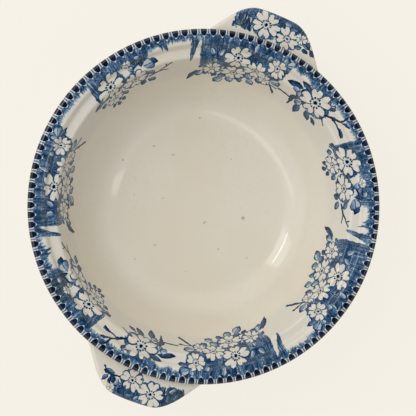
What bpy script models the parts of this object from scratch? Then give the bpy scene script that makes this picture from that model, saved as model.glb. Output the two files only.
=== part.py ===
"""Round two-handled serving bowl of glazed white ware, as the base of a covered vegetable dish.

It is built the way a potter assembles it: a turned body with a flat rim and a sunk ledge, a foot
ring stuck under it, and two pressed lug handles stuck to the wall under the rim. Each stuck joint is
a thin pad of luting slip. Blender units are metres, +Z is up, the origin is the centre of the circle
that the foot ring stands on, and the handles lie along X.

The fired pieces are one hard body in use, so nothing here moves.
"""

import math

import bmesh
import bpy
from mathutils import Matrix, Vector
from mathutils.geometry import interpolate_bezier

MM = 0.001

# Driving dimensions
RIM_RADIUS = 120 * MM
HEIGHT = 72 * MM
INNER_DEPTH = 58 * MM
FLOOR_THICKNESS = 5.5 * MM

# Rim and lid ledge
MOUTH_RADIUS = 100 * MM
LEDGE_DROP = 5.0 * MM
STEP_TOP_RADIUS = 110.5 * MM
STEP_FOOT_RADIUS = 107.5 * MM
RIM_THICKNESS = 4.8 * MM

# Wall and floor
WALL_THICKNESS = 5 * MM
WALL_LEAN = math.radians(21)
FLOOR_FLAT_RADIUS = 45 * MM
BASE_FLAT_RADIUS = 67 * MM

# Foot ring
FOOT_OUTER_RADIUS = 64 * MM
FOOT_WALL = 6.5 * MM
FOOT_FLARE = 1.2 * MM
FOOT_TREAD = 2.2 * MM

# Handles
HANDLE_REACH = 141 * MM
HANDLE_ROOT_RADIUS = 118 * MM
HANDLE_HALF_ANGLE = math.radians(24)
HANDLE_FLAT_SHARE = 0.22
HANDLE_TOP_DROP = 6.6 * MM
HANDLE_THICKNESS = 9 * MM
HANDLE_EDGE_ROUND = 2.6 * MM
HANDLE_DROOP = math.radians(3)

# Luting slip, and the clearance that is kept to each neighbour
SLIP_THICKNESS = 1.3 * MM
CLEARANCE = 0.3 * MM
SLIP_SQUEEZE = 0.7 * MM

TURNING_STEPS = 64
MERGE_DISTANCE = 0.00001

BASE_TOP = HEIGHT - INNER_DEPTH
BASE_UNDERSIDE = BASE_TOP - FLOOR_THICKNESS
LEDGE_HEIGHT = HEIGHT - LEDGE_DROP
SLIP_TOP = BASE_UNDERSIDE - CLEARANCE
SLIP_FOOT = SLIP_TOP - SLIP_THICKNESS
FOOT_TOP = SLIP_FOOT - CLEARANCE
HANDLE_OFFSET = 2 * CLEARANCE + SLIP_THICKNESS

GLAZED_CREAM = ("glazed_cream", (0.70, 0.66, 0.55), 0.12)
PRINTED_BLUE = ("printed_blue", (0.12, 0.22, 0.42), 0.12)
FIRED_SLIP = ("fired_slip", (0.66, 0.61, 0.50), 0.25)


# Scene helpers


def clear_scene():
    for old in list(bpy.data.objects):
        bpy.data.objects.remove(old, do_unlink=True)


def new_collection(name):
    made = bpy.data.collections.new(name)
    bpy.context.scene.collection.children.link(made)
    return made


def ceramic_material(name, colour, roughness):
    """One Principled material for each finish, made once and shared."""
    made = bpy.data.materials.get(name)
    if made:
        return made
    made = bpy.data.materials.new(name)
    made.use_nodes = True
    shader = made.node_tree.nodes["Principled BSDF"]
    shader.inputs["Base Color"].default_value = (*colour, 1)
    shader.inputs["Roughness"].default_value = roughness
    shader.inputs["Metallic"].default_value = 0
    return made


def add_object(name, mesh, collection, finish=None):
    obj = bpy.data.objects.new(name, mesh)
    collection.objects.link(obj)
    if finish:
        mesh.materials.append(ceramic_material(*finish))
    return obj


def make_cutter(obj):
    obj.hide_render = True
    obj.display_type = "WIRE"
    return obj


# Profiles, as (radius, height) pairs that run down the outer side


def curve_points(start, towards_start, towards_end, end, count):
    """Points on a cubic curve in the radius-height plane."""
    knots = [Vector((r, z, 0)) for r, z in (start, towards_start, towards_end, end)]
    return [(p.x, p.y) for p in interpolate_bezier(*knots, count)]


def inner_wall_profile():
    """From the middle of the floor, up the inside of the wall, to the rounded edge of the mouth."""
    wall_handle = 46 * MM
    floor_handle = 27 * MM
    floor_dish = 0.8 * MM
    mouth = (MOUTH_RADIUS, LEDGE_HEIGHT - 1.4 * MM)
    below_mouth = (
        mouth[0] - wall_handle * math.sin(WALL_LEAN),
        mouth[1] - wall_handle * math.cos(WALL_LEAN),
    )
    flat_edge = (FLOOR_FLAT_RADIUS, BASE_TOP + floor_dish / 2)
    beside_flat = (FLOOR_FLAT_RADIUS + floor_handle, BASE_TOP + floor_dish)
    return [(0, BASE_TOP)] + curve_points(flat_edge, beside_flat, below_mouth, mouth, 12)


def rim_profile():
    """From the mouth across the lid ledge, up the step, over the flat rim and round the lip."""
    lip = RIM_THICKNESS / 2
    lip_centre = (RIM_RADIUS - lip, HEIGHT - lip)
    lip_round = [
        (lip_centre[0] + lip * math.sin(turn), lip_centre[1] + lip * math.cos(turn))
        for turn in (math.radians(angle) for angle in (0, 30, 60, 90, 120, 150))
    ]
    return [
        (MOUTH_RADIUS + 1.2 * MM, LEDGE_HEIGHT - 0.2 * MM),
        (MOUTH_RADIUS + 2.6 * MM, LEDGE_HEIGHT),
        (STEP_FOOT_RADIUS - 1.2 * MM, LEDGE_HEIGHT),
        (STEP_FOOT_RADIUS, LEDGE_HEIGHT + 0.6 * MM),
        (STEP_TOP_RADIUS - 1.4 * MM, HEIGHT - 1.8 * MM),
        (STEP_TOP_RADIUS, HEIGHT - 0.7 * MM),
        *lip_round,
    ]


def outer_wall_profile():
    """From under the rim, down the outside of the wall, to the edge of the flat base."""
    neck_radius = MOUTH_RADIUS + WALL_THICKNESS + 0.5 * MM
    under_rim = [
        (RIM_RADIUS - 6.5 * MM, HEIGHT - RIM_THICKNESS - 0.6 * MM),
        (RIM_RADIUS - 11 * MM, HEIGHT - RIM_THICKNESS - 2.4 * MM),
        (neck_radius + 0.8 * MM, HEIGHT - RIM_THICKNESS - 4.6 * MM),
    ]
    neck = (neck_radius, HEIGHT - RIM_THICKNESS - 7.2 * MM)
    below_neck = (neck_radius - 12 * MM, neck[1] - 34 * MM)
    beside_base = (BASE_FLAT_RADIUS + 17 * MM, BASE_UNDERSIDE + 0.6 * MM)
    base_edge = (BASE_FLAT_RADIUS, BASE_UNDERSIDE)
    return under_rim + curve_points(neck, below_neck, beside_base, base_edge, 11)


def body_profile():
    return inner_wall_profile() + rim_profile() + outer_wall_profile() + [(0, BASE_UNDERSIDE)]


def offset_outwards(profile, distance):
    """The same profile moved out along its own normals."""
    moved = []
    for i, (r, z) in enumerate(profile):
        before = profile[max(i - 1, 0)]
        after = profile[min(i + 1, len(profile) - 1)]
        along = Vector((after[0] - before[0], after[1] - before[1])).normalized()
        moved.append((r - along.y * distance, z + along.x * distance))
    return moved


def envelope_profile(distance):
    """The outside of the body grown by a distance, closed over the top of the bowl."""
    lip_side = [(RIM_RADIUS, HEIGHT - RIM_THICKNESS / 2)]
    grown = offset_outwards(lip_side + rim_profile()[-2:] + outer_wall_profile(), distance)
    above = HEIGHT + 5 * MM
    return [(0, above), (grown[0][0], above), *grown, (0, BASE_UNDERSIDE - distance)]


# Turned and outlined pieces


def turned(name, profile, collection, finish=None, ring=False):
    """A profile turned round Z. A ring's profile closes on itself; any other meets the axis."""
    mesh = bpy.data.meshes.new(name)
    count = len(profile)
    edges = [(i, (i + 1) % count) for i in range(count if ring else count - 1)]
    mesh.from_pydata([(r, 0, z) for r, z in profile], edges, [])
    obj = add_object(name, mesh, collection, finish)
    screw = obj.modifiers.new("turning", "SCREW")
    screw.steps = TURNING_STEPS
    screw.render_steps = TURNING_STEPS
    screw.use_merge_vertices = True
    screw.merge_threshold = MERGE_DISTANCE
    screw.use_smooth_shade = True
    return obj


def evaluated_copy(obj, collection, finish=None):
    """The object as a plain mesh with its modifiers applied and its caps welded, in its place."""
    graph = bpy.context.evaluated_depsgraph_get()
    mesh = bpy.data.meshes.new_from_object(obj.evaluated_get(graph))
    name = obj.name
    place = obj.matrix_world.copy()
    bpy.data.objects.remove(obj, do_unlink=True)
    welded = bmesh.new()
    welded.from_mesh(mesh)
    bmesh.ops.remove_doubles(welded, verts=welded.verts, dist=MERGE_DISTANCE)
    bmesh.ops.recalc_face_normals(welded, faces=welded.faces)
    welded.to_mesh(mesh)
    welded.free()
    mesh.materials.clear()
    copy = add_object(name, mesh, collection, finish)
    copy.matrix_world = place
    return copy


def plate(name, outline, bottom, top, collection, edge_round=0):
    """A flat outline with a thickness, from one height to another, and rounded edges if asked."""
    curve = bpy.data.curves.new(name, "CURVE")
    curve.dimensions = "2D"
    curve.fill_mode = "BOTH"
    curve.extrude = (top - bottom) / 2 - edge_round
    curve.bevel_depth = edge_round
    curve.bevel_resolution = 1
    curve.offset = -edge_round
    spline = curve.splines.new("POLY")
    spline.points.add(len(outline) - 1)
    for point, (x, y) in zip(spline.points, outline):
        point.co = (x, y, 0, 1)
    spline.use_cyclic_u = True
    obj = bpy.data.objects.new(name, curve)
    obj.location.z = (top + bottom) / 2
    collection.objects.link(obj)
    bpy.context.view_layer.update()
    return evaluated_copy(obj, collection)


def sector_outline(outer_radius_at, half_angle, inner_radius, steps):
    """A sector about +X between an inner arc and an outer edge whose radius follows the angle."""
    angles = [half_angle * (2 * i / steps - 1) for i in range(steps + 1)]
    outer = [(outer_radius_at(a) * math.cos(a), outer_radius_at(a) * math.sin(a)) for a in angles]
    inner = [(inner_radius * math.cos(a), inner_radius * math.sin(a)) for a in reversed(angles[::4])]
    return outer + inner


def handle_radius(angle):
    """The lug's plan: a flat middle that sweeps back to the rim in a smooth S on each side."""
    share = min(abs(angle) / HANDLE_HALF_ANGLE, 1)
    fall = max(share - HANDLE_FLAT_SHARE, 0) / (1 - HANDLE_FLAT_SHARE)
    rise = 1 - fall * fall * (3 - 2 * fall)
    return HANDLE_ROOT_RADIUS + (HANDLE_REACH - HANDLE_ROOT_RADIUS) * rise


def cut(obj, cutter, operation="DIFFERENCE"):
    boolean = obj.modifiers.new(operation.lower(), "BOOLEAN")
    boolean.object = cutter
    boolean.operation = operation
    boolean.solver = "EXACT"


def face_side(obj, turn):
    """Turns a piece made along +X to its own side of the bowl."""
    obj.matrix_world = Matrix.Rotation(turn, 4, "Z") @ obj.matrix_world


# The object's parts


def build_body(parts):
    turned("bowl_body", body_profile(), parts, GLAZED_CREAM)


def build_foot(parts):
    """The foot ring stands on a narrow flat tread and flares a little on its way down."""
    inner = FOOT_OUTER_RADIUS - FOOT_WALL
    tread_middle = FOOT_OUTER_RADIUS + FOOT_FLARE - FOOT_WALL / 2
    rise = 1.6 * MM
    foot = [
        (FOOT_OUTER_RADIUS, FOOT_TOP),
        (FOOT_OUTER_RADIUS + FOOT_FLARE, rise),
        (FOOT_OUTER_RADIUS + 0.5 * FOOT_FLARE, 0.5 * MM),
        (tread_middle + FOOT_TREAD / 2, 0),
        (tread_middle - FOOT_TREAD / 2, 0),
        (inner + 1.2 * MM, 0.5 * MM),
        (inner + 0.4 * MM, rise),
        (inner, FOOT_TOP),
    ]
    turned("foot_ring", foot, parts, GLAZED_CREAM, ring=True)
    slip = [
        (FOOT_OUTER_RADIUS, SLIP_TOP),
        (FOOT_OUTER_RADIUS + SLIP_SQUEEZE, (SLIP_TOP + SLIP_FOOT) / 2),
        (FOOT_OUTER_RADIUS, SLIP_FOOT),
        (inner, SLIP_FOOT),
        (inner - SLIP_SQUEEZE, (SLIP_TOP + SLIP_FOOT) / 2),
        (inner, SLIP_TOP),
    ]
    turned("foot_luting_slip", slip, parts, FIRED_SLIP, ring=True)


def build_handle(side, turn, parts, cutters):
    """One pressed lug and the slip that sticks it under the rim."""
    top = HEIGHT - HANDLE_TOP_DROP
    hidden_radius = MOUTH_RADIUS - 2 * MM
    outline = sector_outline(handle_radius, HANDLE_HALF_ANGLE, hidden_radius, 32)
    lug = plate(
        f"lug_handle_{side}", outline, top - HANDLE_THICKNESS, top, parts, HANDLE_EDGE_ROUND
    )
    lug.data.materials.append(ceramic_material(*PRINTED_BLUE))
    rim_edge = Matrix.Translation((RIM_RADIUS, 0, top))
    droop = rim_edge @ Matrix.Rotation(HANDLE_DROOP, 4, "Y") @ rim_edge.inverted()
    lug.matrix_world = droop @ lug.matrix_world
    cut(lug, cutters["handle_side"])
    face_side(lug, turn)

    pad_radius = HANDLE_ROOT_RADIUS - 4 * MM
    pad_half_angle = HANDLE_HALF_ANGLE + SLIP_SQUEEZE / MOUTH_RADIUS
    pad_outline = sector_outline(lambda angle: pad_radius, pad_half_angle, hidden_radius, 32)
    pad = plate(
        f"handle_luting_slip_{side}",
        pad_outline,
        top - HANDLE_THICKNESS - SLIP_SQUEEZE,
        top - 0.4 * MM,
        parts,
    )
    pad.data.materials.append(ceramic_material(*FIRED_SLIP))
    cut(pad, cutters["slip_side"], "INTERSECT")
    cut(pad, cutters["wall_side"])
    face_side(pad, turn)


def build_cutters(collection):
    """The body's outside, grown to where the slip starts, where it ends, and where the lug starts."""
    distances = {
        "wall_side": CLEARANCE,
        "slip_side": CLEARANCE + SLIP_THICKNESS,
        "handle_side": HANDLE_OFFSET,
    }
    return {
        name: make_cutter(turned(f"envelope_{name}", envelope_profile(distance), collection))
        for name, distance in distances.items()
    }


def main():
    clear_scene()
    parts = new_collection("serving_bowl")
    cutters = build_cutters(new_collection("cutters"))
    build_body(parts)
    build_foot(parts)
    build_handle("right", 0, parts, cutters)
    build_handle("left", math.pi, parts, cutters)


main()
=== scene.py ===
"""The looks of a round two-handled serving bowl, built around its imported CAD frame.

The bowl is glazed cream earthenware with a blue transfer print round the rim: a border of dark
darts, a hatched ground with a ragged edge, and sprays of blossom that run down into the bowl.
Everything is in metres, +Z is up, and the handles lie along X.
"""

import math

import bmesh
import bpy
import numpy as np
from mathutils import Matrix, Vector
from mathutils.geometry import interpolate_bezier


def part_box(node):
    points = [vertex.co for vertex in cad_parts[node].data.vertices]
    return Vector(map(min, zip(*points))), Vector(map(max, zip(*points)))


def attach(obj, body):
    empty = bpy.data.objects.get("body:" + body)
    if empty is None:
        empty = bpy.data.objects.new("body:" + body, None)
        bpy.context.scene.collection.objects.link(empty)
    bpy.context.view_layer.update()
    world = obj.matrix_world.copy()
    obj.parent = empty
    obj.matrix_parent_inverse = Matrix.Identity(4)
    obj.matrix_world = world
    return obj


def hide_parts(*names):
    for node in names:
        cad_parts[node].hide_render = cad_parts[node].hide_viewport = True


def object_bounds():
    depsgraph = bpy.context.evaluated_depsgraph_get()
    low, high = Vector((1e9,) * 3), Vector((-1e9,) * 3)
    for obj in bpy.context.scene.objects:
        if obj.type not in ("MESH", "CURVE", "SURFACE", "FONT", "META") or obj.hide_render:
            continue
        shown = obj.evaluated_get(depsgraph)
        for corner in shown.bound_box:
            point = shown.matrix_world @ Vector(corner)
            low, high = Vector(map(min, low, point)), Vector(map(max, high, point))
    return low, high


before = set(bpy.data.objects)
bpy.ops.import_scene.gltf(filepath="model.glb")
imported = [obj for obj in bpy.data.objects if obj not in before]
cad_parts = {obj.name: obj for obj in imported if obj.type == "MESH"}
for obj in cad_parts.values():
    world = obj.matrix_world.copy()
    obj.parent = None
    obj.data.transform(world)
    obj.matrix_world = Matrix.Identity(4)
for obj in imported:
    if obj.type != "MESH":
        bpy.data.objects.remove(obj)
CAD_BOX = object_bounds()

MM = 0.001

# The bowl's driving dimensions; the first five are read from the frame's own boxes, the rest are given
RIM_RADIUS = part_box("bowl_body")[1].x
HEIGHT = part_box("bowl_body")[1].z
BASE_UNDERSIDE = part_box("bowl_body")[0].z
HANDLE_REACH = CAD_BOX[1].x
FOOT_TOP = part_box("foot_ring")[1].z
FLOOR_THICKNESS = 5.5 * MM
BASE_TOP = BASE_UNDERSIDE + FLOOR_THICKNESS
MOUTH_RADIUS = 100 * MM
LEDGE_HEIGHT = HEIGHT - 5 * MM
STEP_TOP_RADIUS = 110.5 * MM
STEP_FOOT_RADIUS = 107.5 * MM
RIM_THICKNESS = 4.8 * MM
WALL_THICKNESS = 5 * MM
WALL_LEAN = math.radians(21)
FLOOR_FLAT_RADIUS = 45 * MM
BASE_FLAT_RADIUS = 67 * MM
FOOT_OUTER_RADIUS = 64 * MM
FOOT_WALL = 6.5 * MM
FOOT_FLARE = 1.2 * MM
FOOT_TREAD = 2.2 * MM

HANDLE_ROOT_RADIUS = 118 * MM
HANDLE_WALL_RADIUS = 104.8 * MM
HANDLE_HALF_ANGLE = math.radians(24)
HANDLE_TUCK_ANGLE = math.radians(3.5)
HANDLE_FLAT_SHARE = 0.22
HANDLE_TOP_DROP = 6.6 * MM
HANDLE_THICKNESS = 9 * MM
HANDLE_EDGE_ROUND = 3.2 * MM
HANDLE_THINNING = 0.25
HANDLE_DROOP = math.radians(3)
HANDLE_COLUMNS = 128

EDGE_MARGIN = 0.05 * MM

TURNING_STEPS = 288


# Turned pieces


def curve_points(start, towards_start, towards_end, end, count):
    """Points on a cubic curve in the radius-height plane."""
    knots = [Vector((r, z, 0)) for r, z in (start, towards_start, towards_end, end)]
    return [(p.x, p.y) for p in interpolate_bezier(*knots, count)]


def softened(profile, rounds=2):
    """The profile with its corners cut off again and again, which leaves its two ends in place."""
    for _ in range(rounds):
        cut = [profile[0]]
        for (r0, z0), (r1, z1) in zip(profile, profile[1:]):
            cut.append((0.75 * r0 + 0.25 * r1, 0.75 * z0 + 0.25 * z1))
            cut.append((0.25 * r0 + 0.75 * r1, 0.25 * z0 + 0.75 * z1))
        profile = cut + [profile[-1]]
    return profile


def inner_wall_profile():
    """From the middle of the floor up the inside of the wall to the edge of the mouth."""
    floor_dish = 0.8 * MM
    mouth = (MOUTH_RADIUS, LEDGE_HEIGHT - 1.4 * MM)
    wall_handle = 46 * MM
    below_mouth = (
        mouth[0] - wall_handle * math.sin(WALL_LEAN),
        mouth[1] - wall_handle * math.cos(WALL_LEAN),
    )
    flat_edge = (FLOOR_FLAT_RADIUS, BASE_TOP + floor_dish / 2)
    beside_flat = (FLOOR_FLAT_RADIUS + 27 * MM, BASE_TOP + floor_dish)
    floor_steps = 6
    dish = [
        (FLOOR_FLAT_RADIUS * i / floor_steps, BASE_TOP + floor_dish / 2 * (i / floor_steps) ** 2)
        for i in range(floor_steps)
    ]
    return dish + curve_points(flat_edge, beside_flat, below_mouth, mouth, 32)


def rim_profile():
    """From the mouth across the lid ledge, up the step, over the flat rim and round the lip."""
    lip = RIM_THICKNESS / 2
    lip_centre = (RIM_RADIUS - lip, HEIGHT - lip)
    lip_round = [
        (lip_centre[0] + lip * math.sin(turn), lip_centre[1] + lip * math.cos(turn))
        for turn in (math.radians(angle) for angle in range(0, 151, 15))
    ]
    return [
        (MOUTH_RADIUS + 1.2 * MM, LEDGE_HEIGHT - 0.2 * MM),
        (MOUTH_RADIUS + 2.6 * MM, LEDGE_HEIGHT),
        (STEP_FOOT_RADIUS - 1.2 * MM, LEDGE_HEIGHT),
        (STEP_FOOT_RADIUS, LEDGE_HEIGHT + 0.6 * MM),
        (STEP_TOP_RADIUS - 1.4 * MM, HEIGHT - 1.8 * MM),
        (STEP_TOP_RADIUS, HEIGHT - 0.7 * MM),
        *lip_round,
    ]


def outer_wall_profile():
    """From under the rim down the outside of the wall to the edge of the flat base."""
    neck_radius = MOUTH_RADIUS + WALL_THICKNESS + 0.5 * MM
    under_rim = [
        (RIM_RADIUS - 6.5 * MM, HEIGHT - RIM_THICKNESS - 0.6 * MM),
        (RIM_RADIUS - 11 * MM, HEIGHT - RIM_THICKNESS - 2.4 * MM),
        (neck_radius + 0.8 * MM, HEIGHT - RIM_THICKNESS - 4.6 * MM),
    ]
    neck = (neck_radius, HEIGHT - RIM_THICKNESS - 7.2 * MM)
    below_neck = (neck_radius - 12 * MM, neck[1] - 34 * MM)
    beside_base = (BASE_FLAT_RADIUS + 17 * MM, BASE_UNDERSIDE + 0.6 * MM)
    return under_rim + curve_points(neck, below_neck, beside_base, (BASE_FLAT_RADIUS, BASE_UNDERSIDE), 22)


def body_profile():
    under_base = [(BASE_FLAT_RADIUS * (1 - i / 6), BASE_UNDERSIDE) for i in range(1, 6)]
    whole = inner_wall_profile() + rim_profile() + outer_wall_profile() + under_base
    return softened(whole + [(0, BASE_UNDERSIDE)])


def turned(name, profile, finish, ring=False):
    """A profile turned round Z, with each point's distance along the profile kept as "run".

    The run is nought at the lip's edge, grows inwards over the rim and goes negative below it.
    """
    radii = np.array([r for r, _ in profile])
    heights = np.array([z for _, z in profile])
    steps = np.hypot(np.diff(radii), np.diff(heights))
    along = np.concatenate([[0], np.cumsum(steps)])
    run = along[radii.argmax()] - along
    shape = bmesh.new()
    run_layer = shape.verts.layers.float.new("run")
    rings = []
    for r, z, distance in zip(radii, heights, run):
        turns = [0.0] if r < 1e-6 else [2 * math.pi * i / TURNING_STEPS for i in range(TURNING_STEPS)]
        made = [shape.verts.new((r * math.cos(t), r * math.sin(t), z)) for t in turns]
        for vert in made:
            vert[run_layer] = distance
        rings.append(made)
    pairs = list(zip(rings, rings[1:])) + ([(rings[-1], rings[0])] if ring else [])
    for lower, upper in pairs:
        for i in range(TURNING_STEPS):
            j = (i + 1) % TURNING_STEPS
            below = [lower[i % len(lower)], lower[j % len(lower)]]
            above = [upper[j % len(upper)], upper[i % len(upper)]]
            shape.faces.new(list(dict.fromkeys(below + above)))
    bmesh.ops.recalc_face_normals(shape, faces=shape.faces)
    return finished(shape, name, finish)


# Handles, and the slip that shows where pieces are stuck together


def bell_radius(angle):
    """The lug's plan: a flat middle that sweeps back to the rim in a smooth S, then tucks under it."""
    share = min(abs(angle) / HANDLE_HALF_ANGLE, 1)
    fall = max(share - HANDLE_FLAT_SHARE, 0) / (1 - HANDLE_FLAT_SHARE)
    rise = 1 - fall * fall * (3 - 2 * fall)
    tuck = max(abs(angle) - HANDLE_HALF_ANGLE, 0) / HANDLE_TUCK_ANGLE
    root = HANDLE_ROOT_RADIUS - (HANDLE_ROOT_RADIUS - HANDLE_WALL_RADIUS) * tuck * tuck
    return root + (HANDLE_REACH - EDGE_MARGIN - HANDLE_ROOT_RADIUS) * rise


def bell_outline():
    """Points round the lug's edge with the outward direction at each."""
    reach = HANDLE_HALF_ANGLE + HANDLE_TUCK_ANGLE
    angles = np.linspace(-reach, reach, HANDLE_COLUMNS + 1)
    points = [Vector((bell_radius(a) * math.cos(a), bell_radius(a) * math.sin(a))) for a in angles]
    outline = []
    for i, point in enumerate(points):
        along = points[min(i + 1, HANDLE_COLUMNS)] - points[max(i - 1, 0)]
        outline.append((point, Vector((along.y, -along.x)).normalized()))
    return outline


def handle_section(back_steps=14, round_steps=16, squareness=0.75):
    """A lug's section as (inset from the outline, height, share of the way back to the wall)."""
    flat = [(1.0, 1.0, 1 - i / back_steps) for i in range(back_steps + 1)]
    edge = []
    for i in range(1, round_steps):
        turn = math.pi * i / round_steps
        level = math.copysign(abs(math.cos(turn)) ** squareness, math.cos(turn))
        edge.append((1 - math.sin(turn) ** squareness, level, 0))
    return flat + edge + [(inset, -level, share) for inset, level, share in reversed(flat)]


def lug_top(radius):
    """The height of a lug's upper face at a distance from the bowl's axis, with its droop."""
    return HEIGHT - HANDLE_TOP_DROP - (radius - RIM_RADIUS) * math.tan(HANDLE_DROOP)


def lug_thickness(radius):
    outwards = (radius - HANDLE_WALL_RADIUS) / (HANDLE_REACH - HANDLE_WALL_RADIUS)
    return HANDLE_THICKNESS * (1 - HANDLE_THINNING * outwards)


def make_handle(name, turn, finish):
    """One pressed lug, lofted from section to section round its outline."""
    section = handle_section()
    spin = Matrix.Rotation(turn, 4, "Z")
    shape = bmesh.new()
    columns = []
    for point, outward in bell_outline():
        edge_round = min(HANDLE_EDGE_ROUND, 0.6 * (point.length - HANDLE_WALL_RADIUS) + 0.1 * MM)
        column = []
        for inset, level, share in section:
            place = point - outward * inset * edge_round
            place = place.lerp(place.normalized() * HANDLE_WALL_RADIUS, share)
            depth = lug_thickness(place.length) * (1 - level) / 2
            height = lug_top(place.length) - depth
            column.append(shape.verts.new(spin @ Vector((place.x, place.y, height))))
        columns.append(column)
    skin_columns(shape, columns)
    return finished(shape, name, finish)


def make_handle_slip(name, turn, finish):
    """The slip wiped into a hollow fillet under the lug, and the thin line of it over the lug."""
    under = lug_top(HANDLE_WALL_RADIUS) - HANDLE_THICKNESS
    shape = bmesh.new()
    for corner, along_lug, along_wall in (
        ((HANDLE_WALL_RADIUS - 2 * MM, under + 1 * MM), (7 * MM, -0.9 * MM), (-0.6 * MM, -7 * MM)),
        ((RIM_RADIUS - 13.5 * MM, HEIGHT - 8.4 * MM), (4.2 * MM, 1.3 * MM), (-1.5 * MM, 2.6 * MM)),
    ):
        columns = []
        for i in range(HANDLE_COLUMNS + 1):
            share = 2 * i / HANDLE_COLUMNS - 1
            angle = turn + share * (HANDLE_HALF_ANGLE - math.radians(0.5))
            size = max(1 - abs(share) ** 6, 0.05)
            column = []
            for r, z in fillet_section(corner, along_lug, along_wall, size):
                column.append(shape.verts.new((r * math.cos(angle), r * math.sin(angle), z)))
            columns.append(column)
        skin_columns(shape, columns)
    return finished(shape, name, finish)


def fillet_section(corner, along, across, size, steps=8):
    """A hollow-faced triangle in the radius-height plane, from its corner along two sides."""
    points = [corner]
    for i in range(steps + 1):
        turn = math.pi / 2 * i / steps
        first, second = size * (1 - math.sin(turn)), size * (1 - math.cos(turn))
        points.append(
            (
                corner[0] + along[0] * first + across[0] * second,
                corner[1] + along[1] * first + across[1] * second,
            )
        )
    return points


def skin_columns(shape, columns):
    """Faces between neighbouring columns of points, each a closed loop, with a cap at each end."""
    count = len(columns[0])
    for left, right in zip(columns, columns[1:]):
        for i in range(count):
            j = (i + 1) % count
            shape.faces.new([left[i], left[j], right[j], right[i]])
    for end in (columns[0], columns[-1]):
        shape.faces.new(end)
    bmesh.ops.recalc_face_normals(shape, faces=shape.faces)


def finished(shape, name, finish):
    """The bmesh as a smooth-shaded object in the scene with its material."""
    for face in shape.faces:
        face.smooth = True
    mesh = bpy.data.meshes.new(name)
    shape.to_mesh(mesh)
    shape.free()
    mesh.materials.append(finish)
    obj = bpy.data.objects.new(name, mesh)
    bpy.context.scene.collection.objects.link(obj)
    return obj


def foot_profile():
    """The foot ring's section, down its outer side, across the tread and up inside."""
    inner = FOOT_OUTER_RADIUS - FOOT_WALL
    tread_middle = FOOT_OUTER_RADIUS + FOOT_FLARE - FOOT_WALL / 2
    section = [
        (FOOT_OUTER_RADIUS - 0.2 * MM, FOOT_TOP),
        (FOOT_OUTER_RADIUS + 0.1 * MM, FOOT_TOP - 1.6 * MM),
        (FOOT_OUTER_RADIUS + FOOT_FLARE, 1.6 * MM),
        (FOOT_OUTER_RADIUS + 0.5 * FOOT_FLARE, 0.35 * MM),
        (tread_middle + FOOT_TREAD / 2, 0),
        (tread_middle, 0),
        (tread_middle - FOOT_TREAD / 2, 0),
        (inner + 1.2 * MM, 0.4 * MM),
        (inner + 0.4 * MM, 1.6 * MM),
        (inner, FOOT_TOP),
    ]
    return softened(section, rounds=3)


def foot_slip_profile():
    """The slip's section: a hollow fillet on each side of the foot, up to the base."""
    reach = 1.6 * MM
    top = BASE_UNDERSIDE + 0.2 * MM
    low = FOOT_TOP - 1.2 * MM
    inner = FOOT_OUTER_RADIUS - FOOT_WALL
    outside = fillet_section((FOOT_OUTER_RADIUS - 0.6 * MM, top), (reach + 0.6 * MM, 0), (0, low - top), 1)
    inside = fillet_section((inner + 0.6 * MM, top), (-reach - 0.6 * MM, 0), (0, low - top), 1)
    return outside[1:] + inside[:0:-1]


# Node fields: numbers that vary over a surface


def add_node(tree, kind, inputs, **settings):
    """A new node with its settings, and its input sockets set or linked, by name or by number."""
    made = tree.nodes.new("ShaderNode" + kind)
    for key, value in settings.items():
        setattr(made, key, value)
    for key, value in inputs.items():
        value = value.socket if isinstance(value, Field) else value
        if isinstance(value, bpy.types.NodeSocket):
            tree.links.new(value, made.inputs[key])
        else:
            made.inputs[key].default_value = value
    return made


class Field:
    """A number that varies over a surface. Arithmetic on it adds the node that works it out."""

    def __init__(self, socket):
        self.socket = socket
        self.tree = socket.id_data

    def math(self, operation, *others):
        return math_field(self.tree, operation, self, *others)

    def __add__(self, other):
        return self.math("ADD", other)

    def __sub__(self, other):
        return self.math("SUBTRACT", other)

    def __rsub__(self, other):
        return math_field(self.tree, "SUBTRACT", other, self)

    def __mul__(self, other):
        return self.math("MULTIPLY", other)

    def __truediv__(self, other):
        return self.math("DIVIDE", other)

    def __pow__(self, power):
        return self.math("POWER", power)

    def __abs__(self):
        return self.math("ABSOLUTE")

    def __lt__(self, other):
        return self.math("LESS_THAN", other)

    def __gt__(self, other):
        return self.math("GREATER_THAN", other)

    __radd__ = __add__

    def at_most(self, other):
        return self.math("MINIMUM", other)

    def at_least(self, other):
        return self.math("MAXIMUM", other)

    def smooth(self, low, high):
        """0 at low and 1 at high with a smooth step between them. Low may be the larger."""
        limits = {"Value": self, "From Min": low, "From Max": high}
        made = add_node(self.tree, "MapRange", limits, interpolation_type="SMOOTHSTEP")
        return Field(made.outputs["Result"])

    def towards(self, other, share):
        """This field where the share is 0, the other where it is 1, and a mix between."""
        mix = add_node(self.tree, "Mix", {0: share, 2: self, 3: other}, data_type="FLOAT")
        return Field(mix.outputs[0])


def math_field(tree, operation, *values):
    inputs = dict(enumerate(values))
    return Field(add_node(tree, "Math", inputs, operation=operation).outputs[0])


def hypotenuse(a, b):
    return (a * a + b * b).math("SQRT")


def separated(tree, vector):
    parts = add_node(tree, "SeparateXYZ", {0: vector}).outputs
    return [Field(part) for part in parts]


def combined(tree, x, y, z=0.0):
    return add_node(tree, "CombineXYZ", {0: x, 1: y, 2: z}).outputs[0]


def noise(tree, vector, scale, detail=2.0, roughness=0.5):
    """Soft noise, about 0 to 1 with a mean of a half. The scale is in cycles for each unit."""
    inputs = {"Vector": vector, "Scale": scale, "Detail": detail, "Roughness": roughness}
    return Field(add_node(tree, "TexNoise", inputs).outputs["Fac"])


def mixed_colour(tree, share, first, second, blend="MIX"):
    inputs = {0: share, 6: first, 7: second}
    return add_node(tree, "Mix", inputs, data_type="RGBA", blend_type=blend).outputs[2]


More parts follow.
